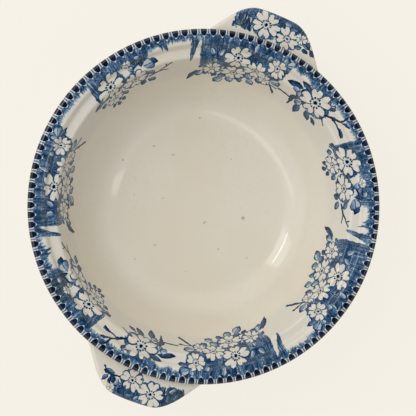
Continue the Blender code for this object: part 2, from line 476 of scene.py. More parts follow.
def seen_from(tree, point, place, turn, size, tone=0.0):
    """A point of the sheet as seen from a motif: moved, turned back and divided by the motif's size.

    The point's third part is 1, so each row of the change is one dot product. The tone goes along
    as a third part, far too small to count in a length.
    """
    cos, sin = math.cos(math.radians(turn)), math.sin(math.radians(turn))
    rows = [
        (cos / size[0], sin / size[0], -(place[0] * cos + place[1] * sin) / size[0]),
        (-sin / size[1], cos / size[1], (place[0] * sin - place[1] * cos) / size[1]),
    ]
    x, y = (vector_math(tree, "DOT_PRODUCT", point, row, "Value") for row in rows)
    return combined(tree, x, y, tone * TONE_SCALE)


def vector_math(tree, operation, first, second=(0, 0, 0), output="Vector"):
    return add_node(tree, "VectorMath", {0: first, 1: second}, operation=operation).outputs[output]


def length(tree, vector):
    return Field(vector_math(tree, "LENGTH", vector, output="Value"))


# The print, drawn in millimetres: x runs clockwise along the rim and y away from its edge

DART_COUNT = 114
DART_STRAIGHT = 2.8
DART_TIP = 3.5
DART_HALF_WIDTH = 2.15
BORDER_STRAIGHT = 3.2
BORDER_TIP = 4.1
BORDER_HALF_WIDTH = 2.72
GAP_LINE_PLACE = 3.0
PRINT_END = 60
SHEET_PITCH = 200
PETAL_COUNT = 5
STAMEN_COUNT = 11
BLOOM = 0.035
LEAF_INKY = 0.48
LEAF_DARK = 0.55
LEAF_MIDDLE = 0.34
LEAF_PALE = 0.14
TONE_SCALE = 0.01

# A motif is its place, its half width, its half height and its turn in degrees. A leaf points along
# its own x, and has a tone, from 0 for bare glaze to 1 for full ink.
BOUGH = {
    "blossoms": [
        (-2.4, 19.9, 9.2, 9.6, 4),
        (-16.8, 35.7, 6.0, 7.6, -8),
        (-1.5, 37.3, 8.2, 8.0, 12),
        (11.6, 26.9, 7.8, 8.4, -4),
        (25.6, 17.4, 6.4, 7.6, 8),
        (20.0, 32.4, 4.2, 5.8, -12),
    ],
    "leaves": [
        (-29.2, 44.5, 6.4, 2.0, 112, LEAF_DARK),
        (-24.6, 42.4, 4.2, 3.0, 98, LEAF_PALE),
        (-20.2, 41.8, 2.8, 2.0, 80, LEAF_MIDDLE),
        (-9.8, 49.2, 4.4, 3.2, 130, LEAF_PALE),
        (-8.6, 43.9, 3.0, 2.4, 200, LEAF_MIDDLE),
        (-2.4, 46.9, 3.6, 2.8, 70, LEAF_PALE),
        (9.2, 37.2, 3.6, 2.8, 60, LEAF_PALE),
        (11.6, 42.8, 3.4, 2.6, 40, LEAF_PALE),
        (21.6, 25.4, 3.8, 2.4, -50, LEAF_MIDDLE),
        (28.0, 29.4, 4.6, 3.4, -20, LEAF_PALE),
        (35.4, 9.4, 4.2, 3.0, -20, LEAF_PALE),
        (34.8, 14.6, 4.0, 2.2, 15, LEAF_MIDDLE),
        (30.2, 9.0, 3.2, 1.8, -70, LEAF_PALE),
        (8.2, 9.0, 4.2, 1.7, -72, LEAF_PALE),
        (5.0, 9.6, 2.6, 1.2, -110, LEAF_DARK),
        (15.2, 9.8, 4.8, 1.1, -48, LEAF_DARK),
        (14.6, 14.6, 5.0, 1.0, -12, LEAF_DARK),
        (-20.6, 18.4, 3.6, 2.0, 55, LEAF_PALE),
        (-14.6, 18.4, 3.4, 2.0, 125, LEAF_PALE),
        (-17.2, 25.2, 3.4, 1.9, 90, LEAF_PALE),
        (32.6, 35.2, 1.8, 1.0, 10, LEAF_DARK),
        (4.4, 44.8, 3.0, 2.0, 75, LEAF_MIDDLE),
        (-13.6, 44.2, 2.6, 1.8, 120, LEAF_DARK),
        (16.2, 37.4, 3.2, 2.2, 60, LEAF_MIDDLE),
        (26.4, 24.4, 3.0, 2.0, 10, LEAF_DARK),
        (-9.2, 29.2, 3.4, 1.7, 70, LEAF_DARK),
        (19.0, 12.2, 3.2, 1.8, -60, LEAF_PALE),
        (-24.4, 33.6, 2.8, 1.8, 130, LEAF_MIDDLE),
        (5.8, 15.6, 2.6, 1.6, -20, LEAF_DARK),
    ],
    "twigs": [
        (-25, 40, -28, 43, 0.6),
        (22, 31, 27, 38, 0.6),
        (27, 38, 32, 44.5, 0.9),
        (25, 34.5, 32, 35.2, 0.5),
        (-19, 22.5, -15, 22.5, 0.35),
        (-17, 22.5, -8, 27, 0.4),
        (29, 22, 33, 16, 0.4),
    ],
}
SINGLE = {
    "blossoms": [(3.2, 19.7, 11.2, 11.2, 3)],
    "leaves": [
        (-4.8, 31.8, 3.6, 2.4, 110, LEAF_PALE),
        (14.6, 12.8, 3.2, 1.5, -50, LEAF_DARK),
        (-15.4, 19.0, 6.4, 2.0, 170, LEAF_DARK),
        (-12.4, 21.4, 3.2, 2.3, 10, LEAF_PALE),
        (-8.8, 14.8, 5.2, 1.9, -168, LEAF_DARK),
        (-9.0, 23.4, 3.2, 1.8, 90, LEAF_PALE),
        (-9.4, 29.6, 4.6, 2.2, 120, LEAF_INKY),
        (-9.6, 34.8, 3.6, 1.4, 80, LEAF_DARK),
        (-2.6, 37.4, 6.6, 2.4, 82, LEAF_INKY),
        (6.0, 34.8, 4.8, 2.4, 50, LEAF_INKY),
        (11.8, 33.6, 3.6, 1.9, 30, LEAF_DARK),
        (29.6, 10.4, 3.6, 0.9, -15, LEAF_DARK),
        (31.0, 17.4, 5.4, 1.2, 8, LEAF_DARK),
        (20.2, 16.2, 2.0, 1.4, -35, LEAF_DARK),
    ],
    "twigs": [
        (13.6, 19.8, 19.6, 16.4, 0.7),
        (19.6, 16.4, 24.6, 13.0, 0.6),
        (24.6, 13.0, 26.4, 7.2, 0.6),
        (24.6, 13.0, 29.0, 10.6, 0.4),
        (20.6, 16.6, 30.0, 17.4, 0.4),
        (13.6, 23.0, 18.6, 26.6, 0.5),
        (-22.6, 32.8, -9.0, 33.0, 0.8),
        (-9.2, 25.0, -9.4, 40.5, 0.5),
        (-4.0, 26.0, -9.0, 30.0, 0.6),
        (11.0, 12.0, 14.6, 9.6, 0.4),
        (14.6, 9.6, 16.2, 12.0, 0.4),
    ],
}
CLUSTER = {
    "blossoms": [
        (-13.4, 20.5, 10.6, 9.8, -6),
        (4.6, 29.0, 9.4, 8.8, 6),
        (-12.7, 36.4, 6.6, 6.8, 0),
        (2.9, 12.8, 3.2, 2.8, 14),
    ],
    "leaves": [
        (-27.2, 28.6, 4.0, 2.2, 150, LEAF_DARK),
        (-21.6, 28.0, 2.8, 2.4, 60, LEAF_PALE),
        (-4.0, 38.8, 3.0, 1.9, 60, LEAF_MIDDLE),
        (-3.6, 21.6, 3.2, 1.8, 80, LEAF_DARK),
        (-22.4, 34.4, 3.0, 2.2, 100, LEAF_MIDDLE),
        (-18.0, 13.2, 3.0, 1.6, -60, LEAF_DARK),
        (-15.2, 44.2, 2.4, 1.6, 110, LEAF_DARK),
        (-11.2, 46.4, 2.4, 1.7, 90, LEAF_DARK),
        (-7.2, 44.2, 2.4, 1.6, 70, LEAF_DARK),
        (17.4, 19.4, 4.6, 3.9, -10, LEAF_PALE),
        (20.8, 18.6, 3.0, 2.2, 20, LEAF_DARK),
        (12.4, 16.6, 3.4, 1.6, -75, LEAF_DARK),
        (8.4, 12.2, 3.4, 2.0, -20, LEAF_DARK),
        (11.4, 11.6, 2.8, 2.2, 0, LEAF_PALE),
        (4.8, 17.6, 2.6, 1.9, 0, LEAF_PALE),
        (15.6, 38.6, 3.6, 2.4, 40, LEAF_MIDDLE),
        (9.6, 38.4, 3.4, 2.2, 110, LEAF_DARK),
        (16.6, 28.6, 3.6, 2.2, 60, LEAF_MIDDLE),
    ],
    "twigs": [
        (15.0, 33.4, 22.0, 31.0, 0.8),
        (22.0, 31.0, 31.4, 24.0, 0.6),
        (22.0, 31.0, 28.2, 32.0, 0.5),
        (27.4, 27.0, 27.8, 23.6, 0.4),
        (-22.0, 28.4, -26.0, 31.6, 0.5),
        (6.0, 18.0, 14.0, 15.6, 0.5),
    ],
}
LUG_RIGHT = {
    "blossoms": [
        (-5.4, 130.8, 10.2, 9.4, 184),
        (11.4, 127.2, 8.0, 7.8, 176),
        (20.8, 130.6, 4.2, 3.8, 190),
    ],
    "leaves": [
        (-20.6, 131.0, 3.0, 1.9, 80, LEAF_PALE),
        (-17.2, 130.0, 3.2, 1.5, 100, LEAF_PALE),
        (-23.8, 129.4, 3.4, 1.3, 120, LEAF_DARK),
        (-24.6, 124.6, 2.8, 1.3, 150, LEAF_MIDDLE),
        (-19.6, 125.0, 3.2, 1.3, 60, LEAF_DARK),
        (-15.4, 124.2, 2.6, 1.4, 110, LEAF_MIDDLE),
        (4.6, 137.8, 3.6, 1.8, 30, LEAF_DARK),
        (9.6, 136.4, 3.6, 2.0, -20, LEAF_PALE),
        (15.0, 135.4, 2.8, 1.6, 10, LEAF_MIDDLE),
        (17.6, 125.2, 2.8, 1.4, -60, LEAF_DARK),
        (20.6, 124.4, 2.6, 1.6, 30, LEAF_MIDDLE),
        (26.0, 127.8, 3.6, 2.2, -35, LEAF_MIDDLE),
        (25.6, 123.6, 2.6, 1.4, -10, LEAF_DARK),
        (31.0, 124.0, 3.2, 1.8, -40, LEAF_DARK),
    ],
    "twigs": [
        (-20, 133, -21, 126, 0.5),
        (-18, 130, -15, 123, 0.6),
        (6, 124, 2, 129, 0.6),
        (20, 131, 27, 127, 0.5),
        (24, 129.4, 28, 130.6, 0.4),
        (27, 127, 32, 122.6, 0.5),
    ],
}
LUG_LEFT = {
    "blossoms": [
        (-10.2, 132.0, 9.2, 8.8, 180),
        (4.9, 126.8, 7.6, 7.8, 186),
        (17.0, 136.2, 2.8, 2.8, 170),
    ],
    "leaves": [
        (-23.0, 131.4, 3.8, 2.0, 100, LEAF_MIDDLE),
        (-27.2, 128.6, 3.6, 1.9, 80, LEAF_MIDDLE),
        (-23.4, 125.4, 3.4, 1.7, 60, LEAF_PALE),
        (-29.4, 124.4, 2.6, 1.4, 120, LEAF_DARK),
        (17.6, 130.4, 3.2, 1.8, 120, LEAF_DARK),
        (22.8, 131.0, 3.0, 1.4, 60, LEAF_MIDDLE),
        (4.0, 138.0, 3.4, 1.9, 20, LEAF_MIDDLE),
        (9.8, 136.6, 3.0, 2.0, -40, LEAF_DARK),
        (14.2, 132.0, 3.2, 1.6, 80, LEAF_PALE),
        (19.2, 130.8, 3.0, 1.3, 80, LEAF_DARK),
        (21.4, 126.4, 4.0, 2.0, 0, LEAF_MIDDLE),
        (-1.4, 137.6, 2.6, 1.4, 50, LEAF_PALE),
    ],
    "twigs": [
        (12, 127, 19, 128, 0.5),
        (18.4, 134, 19.6, 127, 0.4),
        (21, 128, 25.5, 123.6, 0.5),
        (-20, 136, -18, 124, 0.5),
    ],
}

# Where each spray starts and is centred, in degrees clockwise from +X
SPRAYS = [
    (-31.0, -7.3, BOUGH),
    (11.0, 24.0, SINGLE),
    (42.5, 59.0, CLUSTER),
    (78.0, 98.0, BOUGH),
    (126.0, 149.0, BOUGH),
    (169.5, 182.5, SINGLE),
    (199.8, 217.0, CLUSTER),
    (237.0, 257.7, BOUGH),
    (282.0, 307.5, CLUSTER),
]
SHEET = [BOUGH, SINGLE, CLUSTER]

# How far the hatched ground comes down from the edge, as (x, depth), for each plate on the sheet
GROUND_REACH = 48
GROUND_DEPTH_LIMIT = 40
GROUND_DEPTHS = [
    [(-48, 7.6), (-37.8, 8), (-36.6, 12), (-34.8, 24), (-33.2, 24.5), (-32.2, 13), (-31.4, 8), (-30.2, 8)]
    + [(-29.8, 12), (-28.6, 20), (-26.4, 31), (0, 32), (26, 29), (30, 21), (34, 13), (37, 8), (48, 7.4)],
    [(-48, 7.8), (-22, 8), (-18.6, 10.6), (-15.6, 8), (-11, 8.6), (-8.6, 11.6), (-2, 12.8), (5, 12.4)]
    + [(8.4, 9.4), (12, 8.2), (20, 8), (26, 8.6), (48, 7.6)],
    [(-48, 7.6), (-27.4, 8), (-26.8, 14), (-26, 26), (-22, 28), (-16, 16), (-6, 12.6), (0, 13), (5, 17)]
    + [(14, 17), (17.6, 15), (20.6, 9.4), (27, 8.2), (28.6, 9), (29.8, 13.4), (31, 9.4), (32.6, 15.8)]
    + [(34, 9), (38, 7.8), (48, 7.6)],
]

# Where the ground starts and ends across the right lug, 1, and the left lug, -1
LUG_GROUND = {1: (-26.8, 24.0), -1: (-32.5, 14.0)}


def nearest_motif(tree, point, motifs):
    """The point as the nearest motif sees it, its distance in that motif's own sizes, and its tone."""
    chosen = None
    for x, y, half_width, half_height, turn, tone in motifs:
        seen = seen_from(tree, point, (x, y), turn, (half_width, half_height), tone)
        distance = length(tree, seen)
        if chosen is None:
            chosen, nearest = seen, distance
            continue
        closer = distance < nearest
        mix = add_node(tree, "Mix", {0: closer, 4: chosen, 5: seen}, data_type="VECTOR")
        chosen = mix.outputs[1]
        nearest = nearest.at_most(distance)
    return chosen, nearest


def nearest_twig(tree, point, twigs):
    """How far the point is outside the nearest twig's edge, in millimetres."""
    nearest = None
    for x0, y0, x1, y1, half_width in twigs:
        middle = ((x0 + x1) / 2, (y0 + y1) / 2)
        half_length = math.hypot(x1 - x0, y1 - y0) / 2
        turn = math.degrees(math.atan2(y1 - y0, x1 - x0))
        seen = seen_from(tree, point, middle, turn, (1, 1))
        folded = vector_math(tree, "ABSOLUTE", seen)
        past_end = vector_math(tree, "SUBTRACT", folded, (half_length, 0, 0))
        distance = length(tree, vector_math(tree, "MAXIMUM", past_end)) - half_width
        nearest = distance if nearest is None else nearest.at_most(distance)
    return nearest


def draw_blossom(tree, seen, nearest, ink):
    """Five deeply notched white petals with fine outlines, a ring of stamens and a dark eye."""
    x, y, _ = separated(tree, seen)
    bearing = x.math("ARCTAN2", y)
    turn = bearing * (PETAL_COUNT / (2 * math.pi))
    number = turn.math("ROUND")
    half_sector = abs(turn - number) * (2 * math.pi / PETAL_COUNT)
    reach = nearest * ((number * 2.3).math("SINE") * 0.07 + 1.02)
    along = reach * half_sector.math("COSINE")
    across = reach * half_sector.math("SINE")
    notch = (1 - across / 0.17).at_least(0) * along.smooth(0.5, 0.9) * 0.27
    stretch = (along + notch - 0.60) / 0.40
    breadth = across / (along * 0.40 + 0.105)
    edge = (stretch * stretch + breadth * breadth).math("SQRT")
    petal = edge.smooth(1.08, 0.97).at_least(nearest.smooth(0.42, 0.36))
    outline = edge.smooth(1.0, 1.08) * edge.smooth(1.30, 1.12)
    seam = half_sector.smooth(0.52, 0.60) * nearest.smooth(0.14, 0.22) * nearest.smooth(0.5, 0.38)
    vein = across.smooth(0.03, 0.008) * nearest.smooth(0.60, 0.72) * 0.35
    stamen_turn = bearing * (STAMEN_COUNT / (2 * math.pi))
    off_stamen = abs(stamen_turn - stamen_turn.math("ROUND")) * (2 * math.pi / STAMEN_COUNT) * nearest
    stamen = off_stamen.smooth(0.07, 0.035) * abs(nearest - 0.31).smooth(0.075, 0.035) * 0.95
    filament = off_stamen.smooth(0.022, 0.008) * nearest.smooth(0.28, 0.2) * 0.25
    eye = nearest.smooth(0.13, 0.09)
    shade = vein.at_least(stamen).at_least(filament).at_least(seam * 0.55).at_least(eye)
    around = ink.at_least(outline * nearest.smooth(1.3, 1.05) * 0.72)
    return around.towards(shade, petal)


def draw_leaf(tree, seen, ink):
    """A pointed leaf with a dark outline and midrib, one side darker, and a dark tip."""
    x, y, small_tone = separated(tree, seen)
    tone = small_tone / TONE_SCALE
    edge = abs(y) / (1.02 - x * x).at_least(0.02) + abs(x).smooth(0.96, 1.06)
    blade = edge.smooth(1.12, 0.92)
    rim = edge.smooth(0.62, 0.9)
    midrib = abs(y).smooth(0.13, 0.04) * x.smooth(0.8, 0.6)
    side_veins = (x * 9 + abs(y) * 7).math("SINE").smooth(0.55, 0.95) * 0.3
    dark_side = y.smooth(-0.1, 0.6) * 0.26
    dark_tip = x.smooth(0.25, 0.8) * 0.55
    body = tone + dark_side + dark_tip + side_veins * tone
    body = body.at_least(rim * 0.8).at_least(midrib * 0.62).at_most(0.84)
    return ink.towards(body, blade)


def hatch_density(tree, across, down, vector):
    """The engraved ground: uneven upright lines over a mottled wash."""
    streaks = noise(tree, combined(tree, across, down * 0.06), 0.95, 4, 0.75)
    fine = noise(tree, combined(tree, across, down * 0.35), 2.4, 2, 0.7)
    lines = (across * (2 * math.pi / 0.86)).math("SINE") * 0.05
    patches = noise(tree, vector, 130, 4, 0.7)
    return (streaks - 0.5) * 1.7 + (fine - 0.5) * 1.3 + lines + (patches - 0.5) + 0.56


def wobbled(tree, vector, across, down):
    """The two print coordinates, moved about a little as a hand-laid tissue print is."""
    inputs = {"Vector": vector, "Scale": 330.0, "Detail": 2.0}
    wobble = add_node(tree, "TexNoise", inputs).outputs["Color"]
    first, second, _ = separated(tree, wobble)
    return across + (first - 0.5) * 2.0, down + (second - 0.5) * 2.0


def plate_lists(plate, shift):
    """A plate's motifs moved to its own place on the sheet."""
    blossoms = [(x + shift, y, w, h, turn, 0) for x, y, w, h, turn in plate["blossoms"]]
    leaves = [(x + shift, y, w, h, turn, tone) for x, y, w, h, turn, tone in plate["leaves"]]
    twigs = [(x0 + shift, y0, x1 + shift, y1, w) for x0, y0, x1, y1, w in plate["twigs"]]
    return blossoms, leaves, twigs


def draw_sprays(tree, point, plates, ground, ground_ink):
    """Ink where the ground, twigs, leaves and blossoms of the plates lie, drawn in that order."""
    blossoms, leaves, twigs = [], [], []
    for number, plate in enumerate(plates):
        lists = plate_lists(plate, number * SHEET_PITCH)
        blossoms += lists[0]
        leaves += lists[1]
        twigs += lists[2]
    blossom_seen, blossom_distance = nearest_motif(tree, point, blossoms)
    halo = blossom_distance + (noise(tree, point, 0.22, 2, 0.6) - 0.5) * 0.55
    ground = ground.at_least(halo.smooth(1.10, 1.0))
    ink = ground * ground_ink
    leaf_seen, _ = nearest_motif(tree, point, leaves)
    ink = draw_leaf(tree, leaf_seen, ink)
    ink = ink.at_least(nearest_twig(tree, point, twigs).smooth(0.25, -0.2) * 0.85)
    return draw_blossom(tree, blossom_seen, blossom_distance, ink)


def draw_darts(tree, place, angle, down, ink):
    """The border: dark shields that point inwards, each outlined in white, with thin lines between."""
    step = angle * (DART_COUNT / 360)
    pitch = 2 * math.pi * RIM_RADIUS / MM / DART_COUNT
    aside = abs(step - step.math("ROUND")) * pitch
    past = (down - DART_STRAIGHT).at_least(0) / DART_TIP
    shield_width = (1 - past**2).at_least(0).math("SQRT") * DART_HALF_WIDTH
    past = (down - BORDER_STRAIGHT).at_least(0) / BORDER_TIP
    border_width = (1 - past**1.4).at_least(0) * BORDER_HALF_WIDTH
    gap = down.smooth(5.4, 4.4)
    ink = ink * (1 - gap * 0.92)
    lines = abs(aside - GAP_LINE_PLACE).smooth(0.34, 0.12) * gap * 0.62
    ink = ink.at_least(lines)
    ink = ink * (1 - (aside - border_width).smooth(0.15, -0.15) * down.smooth(7.5, 7.2))
    uneven = noise(tree, place, 420, 2, 0.6) * 0.5
    shield = (aside - shield_width + uneven - 0.25).smooth(0.16, -0.16) * down.smooth(6.4, 6.2)
    ink = ink.at_least(shield * (noise(tree, place, 75, 1, 0.5).smooth(0.3, 0.65) * 0.14 + 0.86))
    return ink * down.smooth(0.45, 0.9)


def stepped(tree, position, starts, values):
    """The value whose start the position has passed last."""
    total = math_field(tree, "ADD", values[0], 0.0)
    for start, before, value in zip(starts[1:], values, values[1:]):
        total = math_field(tree, "MULTIPLY_ADD", position > start, value - before, total)
    return total


def ground_depth(tree, x, depths):
    """A plate's ground depth in millimetres, read from its list of points."""
    curve = tree.nodes.new("ShaderNodeFloatCurve")
    tree.links.new((x / (2 * GROUND_REACH) + 0.5).socket, curve.inputs["Value"])
    line = curve.mapping.curves[0]
    while len(line.points) < len(depths):
        line.points.new(0.5, 0.5)
    for point, (place, depth) in zip(line.points, depths):
        point.location = (place / (2 * GROUND_REACH) + 0.5, depth / GROUND_DEPTH_LIMIT)
        point.handle_type = "VECTOR"
    curve.mapping.update()
    return Field(curve.outputs[0]) * GROUND_DEPTH_LIMIT


def rim_print(tree, place):
    """The bowl's print as ink from 0 to 1."""
    metres_x, metres_y, _ = separated(tree, place)
    radius = hypotenuse(metres_x, metres_y) / MM
    run = Field(add_node(tree, "Attribute", {}, attribute_name="run").outputs["Fac"]) / MM
    first = SPRAYS[0][0]
    bare_angle = metres_y.math("ARCTAN2", metres_x) * (-180 / math.pi)
    angle = bare_angle.math("WRAP", first + 360, first)
    starts = [start for start, _, _ in SPRAYS]
    centre = stepped(tree, angle, starts, [centre for _, centre, _ in SPRAYS])
    plate = stepped(tree, angle, starts, [SHEET.index(plate) for _, _, plate in SPRAYS])
    from_centre = (angle - centre) * (math.pi / 180) * radius
    rim_arc = angle * (math.pi / 180 * RIM_RADIUS / MM)
    x, down = wobbled(tree, place, from_centre, run)

    depths = [ground_depth(tree, x, points) for points in GROUND_DEPTHS]
    depth = depths[0].towards(depths[1], plate > 0.5).towards(depths[2], plate > 1.5)
    ragged = noise(tree, combined(tree, rim_arc, 0.0), 0.75, 2, 0.6) - 0.5
    ground = (down - depth - ragged * 4.2).smooth(0.5, -0.5)
    strokes = noise(tree, combined(tree, rim_arc, 3.0), 1.15, 2, 0.6) - 0.5
    fringe = (down - depth - 1.0 - strokes * 7.0).smooth(0.7, -0.5)
    ground = ground.at_least(fringe * 0.62)
    ground_ink = hatch_density(tree, rim_arc, down, place)
    sheet_point = combined(tree, x + plate * SHEET_PITCH, down, 1.0)
    ink = draw_sprays(tree, sheet_point, SHEET, ground, ground_ink)
    ink = draw_darts(tree, place, angle, run, ink)
    bloom = run.smooth(52, 42) * BLOOM
    return (ink * run.smooth(PRINT_END, PRINT_END - 2)).at_least(bloom) * run.smooth(-2, 0.4)


def lug_print(tree, place, side, plate):
    """A lug's print, drawn as on the rim, but with y as the distance from the bowl's axis."""
    metres_x, metres_y, metres_z = separated(tree, place)
    across = metres_y * (-side / MM)
    out = metres_x * (side / MM)
    x, out = wobbled(tree, place, across, out)
    ragged = (noise(tree, combined(tree, across, 0.0), 0.6, 2, 0.6) - 0.5) * 5
    left, right = LUG_GROUND[side]
    patchy = (noise(tree, place, 210, 2, 0.6) - 0.5) * 12
    from_left = x - left - ragged * 0.5 - patchy * 0.5
    band = (out - 130.5 - patchy).smooth(-0.5, 0.5) * (x - right - ragged * 0.6).smooth(0.5, -0.5)
    left_block = (from_left - 13).smooth(0.5, -0.5) * (out - 122.5 - patchy * 0.8).smooth(-0.5, 0.5)
    ground = band.at_least(left_block) * from_left.smooth(-0.4, 0.4)
    ground_ink = hatch_density(tree, across, out, place)
    ink = draw_sprays(tree, combined(tree, x, out, 1.0), [plate], ground, ground_ink)
    top_face = (metres_z / MM - (lug_top(HANDLE_REACH) - 1.6 * MM) / MM).smooth(-0.8, 0.3)
    return ink.at_least(BLOOM) * top_face


# The glaze over the print

CREAM = (0.69, 0.643, 0.54, 1)
CREAM_WARM = (0.635, 0.575, 0.445, 1)
CREAM_COOL = (0.70, 0.672, 0.59, 1)
INK_SHADES = [
    (0.0, (1.0, 1.0, 1.0)),
    (0.08, (0.82, 0.88, 0.97)),
    (0.22, (0.375, 0.56, 0.83)),
    (0.42, (0.083, 0.205, 0.445)),
    (0.62, (0.020, 0.083, 0.228)),
    (0.82, (0.008, 0.028, 0.105)),
    (1.0, (0.002, 0.008, 0.036)),
]

# Marks fired into the glaze of the bowl's inside, as (x, y, half width) in millimetres
IRON_MARKS = [
    (4.7, -35.1, 1.5),
    (28.6, 28.4, 0.9),
    (29.6, 43.4, 0.8),
    (60.1, 20.0, 0.8),
    (-35.9, 17.4, 0.8),
    (-50.3, 27.3, 0.6),
    (-21.0, -48.0, 0.5),
    (41.0, -12.0, 0.45),
    (-8.0, 44.0, 0.5),
    (-46.0, -10.0, 0.45),
]
COBALT_MARKS = [(-8.7, -9.9, 0.75), (-7.6, -10.6, 0.6), (12.2, 60.5, 0.7)]

# Where kiln smoke has touched the print, in the same form
SOOT_MARKS = [(-86, 72, 10), (-126, -27, 9), (128, 21, 6)]

IRON_COLOUR = (0.36, 0.17, 0.09, 1)
COBALT_COLOUR = (0.05, 0.12, 0.30, 1)
SPECK_COLOUR = (0.16, 0.10, 0.06, 1)
CRAZE_COLOUR = (0.30, 0.22, 0.13, 1)
SOOT_COLOUR = (0.055, 0.075, 0.062, 1)
BARE_CLAY = (0.50, 0.40, 0.27, 1)
GRIME_COLOUR = (0.22, 0.18, 0.14, 1)
STILT_RADIUS = 46
STILT_COUNT = 3
GLAZE_IOR = 1.5


def fired_marks(tree, place, colour):
    """The bowl's own iron and cobalt specks, seen only from above."""
    x, y, z = separated(tree, place)
    ragged = noise(tree, place, 900, 2, 0.6) - 0.5
    inside = (z / MM).smooth(12, 13) * (z / MM).smooth(40, 36)
    for marks, shade in ((IRON_MARKS, IRON_COLOUR), (COBALT_MARKS, COBALT_COLOUR)):
        share = None
        for mark_x, mark_y, size in marks:
            distance = hypotenuse(x / MM - mark_x, y / MM - mark_y) / size + ragged * 1.2
            spot = distance.smooth(1.25, 0.2)
            share = spot if share is None else share.at_least(spot)
        colour = mixed_colour(tree, share * inside * 0.75, colour, shade)
    return colour


def soot_patches(tree, place):
    """Where kiln smoke has turned the print grey-green: a few patches, and a little elsewhere."""
    x, y, _ = separated(tree, place)
    ragged = (noise(tree, place, 150, 2, 0.6) - 0.5) * 1.4
    share = noise(tree, place, 22, 2, 0.5).smooth(0.60, 0.74) * 0.25
    for mark_x, mark_y, size in SOOT_MARKS:
        distance = hypotenuse(x / MM - mark_x, y / MM - mark_y) / size + ragged
        share = share.at_least(distance.smooth(1.15, 0.75))
    return share


def ink_colour(tree, ink):
    ramp = add_node(tree, "ValToRGB", {0: ink})
    stops = ramp.color_ramp.elements
    while len(stops) < len(INK_SHADES):
        stops.new(0.5)
    for stop, (place, shade) in zip(stops, INK_SHADES):
        stop.position = place
        stop.color = (*shade, 1)
    return ramp.outputs["Color"]


def glazed(name, draw_ink=None, finish_extra=None):
    """Clear gloss glaze over cream ware, with a print under it where a function draws one."""
    made = bpy.data.materials.new(name)
    made.use_nodes = True
    tree = made.node_tree
    shader = tree.nodes["Principled BSDF"]
    place = add_node(tree, "TexCoord", {}).outputs["Object"]

    broad = noise(tree, place, 14, 3, 0.55)
    fine = noise(tree, place, 90, 3, 0.6)
    cream = mixed_colour(tree, broad.smooth(0.3, 0.7), CREAM_WARM, CREAM_COOL)
    cream = mixed_colour(tree, 0.6, cream, CREAM)
    cream = mixed_colour(tree, fine.smooth(0.35, 0.8) * 0.10, cream, CREAM_WARM)

    colour = cream
    if draw_ink:
        ink = draw_ink(tree, place)
        worn = noise(tree, place, 520, 2, 0.7).smooth(0.25, 0.42)
        ink = ink * (worn * 0.22 + 0.78)
        colour = mixed_colour(tree, 1.0, cream, ink_colour(tree, ink), "MULTIPLY")
        sooty = soot_patches(tree, place) * ink.smooth(0.15, 0.5) * ink.smooth(0.92, 0.72) * 0.5
        colour = mixed_colour(tree, sooty, colour, SOOT_COLOUR)

    craze = add_node(
        tree, "TexVoronoi", {"Vector": place, "Scale": 210.0}, feature="DISTANCE_TO_EDGE"
    ).outputs["Distance"]
    craze_lines = Field(craze).smooth(0.03, 0.0) * noise(tree, place, 30, 2, 0.5).smooth(0.48, 0.62)
    colour = mixed_colour(tree, craze_lines * 0.09, colour, CRAZE_COLOUR)

    specks = Field(
        add_node(tree, "TexVoronoi", {"Vector": place, "Scale": 62.0, "Randomness": 1.0}).outputs["Distance"]
    )
    speck = specks.smooth(0.045, 0.02) * noise(tree, place, 55, 1, 0.5).smooth(0.57, 0.60)
    colour = mixed_colour(tree, speck * 0.7, colour, SPECK_COLOUR)

    scuffs = scratch_lines(tree, place)
    roughness = 0.045 + fine * 0.05 + scuffs * 0.12 + speck * 0.2
    height = noise(tree, place, 38, 2, 0.5) * 0.10 + noise(tree, place, 260, 2, 0.5) * 0.008
    height = height - craze_lines * 0.003 - scuffs * 0.002 - speck * 0.02
    if finish_extra:
        colour, roughness, height = finish_extra(tree, place, colour, roughness, height)
    bump = add_node(tree, "Bump", {"Height": height, "Distance": MM, "Strength": 1.0})
    tree.links.new(colour, shader.inputs["Base Color"])
    tree.links.new(roughness.socket, shader.inputs["Roughness"])
    tree.links.new(bump.outputs["Normal"], shader.inputs["Normal"])
    shader.inputs["IOR"].default_value = GLAZE_IOR
    return made


def scratch_lines(tree, place):
    """Fine straight scuffs from cutlery, in two directions."""
    total = None
    for turn in (25, 115):
        inputs = {"Vector": place, "Rotation": (0, 0, math.radians(turn)), "Scale": (1, 38, 1)}
        stretched = add_node(tree, "Mapping", inputs).outputs[0]
        lines = noise(tree, stretched, 42, 2, 0.4).smooth(0.66, 0.72)
        total = lines if total is None else total.at_least(lines)
    return total


def turning_rings(tree, place, colour, roughness, height):
    """Faint rings left by the turning tool, strongest on the floor and the ledge."""
    x, y, _ = separated(tree, place)
    radius = hypotenuse(x, y)
    rings = noise(tree, combined(tree, radius, 0.0), 260, 2, 0.5)
    scar = stilt_scars(tree, place)
    colour = mixed_colour(tree, scar * 0.8, fired_marks(tree, place, colour), BARE_CLAY)
    return colour, roughness.towards(0.7, scar), height + rings * 0.035 - scar * 0.3


def stilt_scars(tree, place):
    """Three small scars under the base, where stilts held the bowl in the kiln."""
    x, y, z = separated(tree, place)
    radius = hypotenuse(x, y) / MM
    turn = y.math("ARCTAN2", x) * (STILT_COUNT / (2 * math.pi))
    aside = abs(turn - turn.math("ROUND")) * (2 * math.pi / STILT_COUNT) * radius
    ragged = (noise(tree, place, 700, 2, 0.6) - 0.5) * 1.6
    spot = (hypotenuse(aside, radius - STILT_RADIUS) + ragged).smooth(1.9, 1.1)
    below = BASE_UNDERSIDE / MM
    return spot * (z / MM).smooth(below + 0.5, below + 0.2)


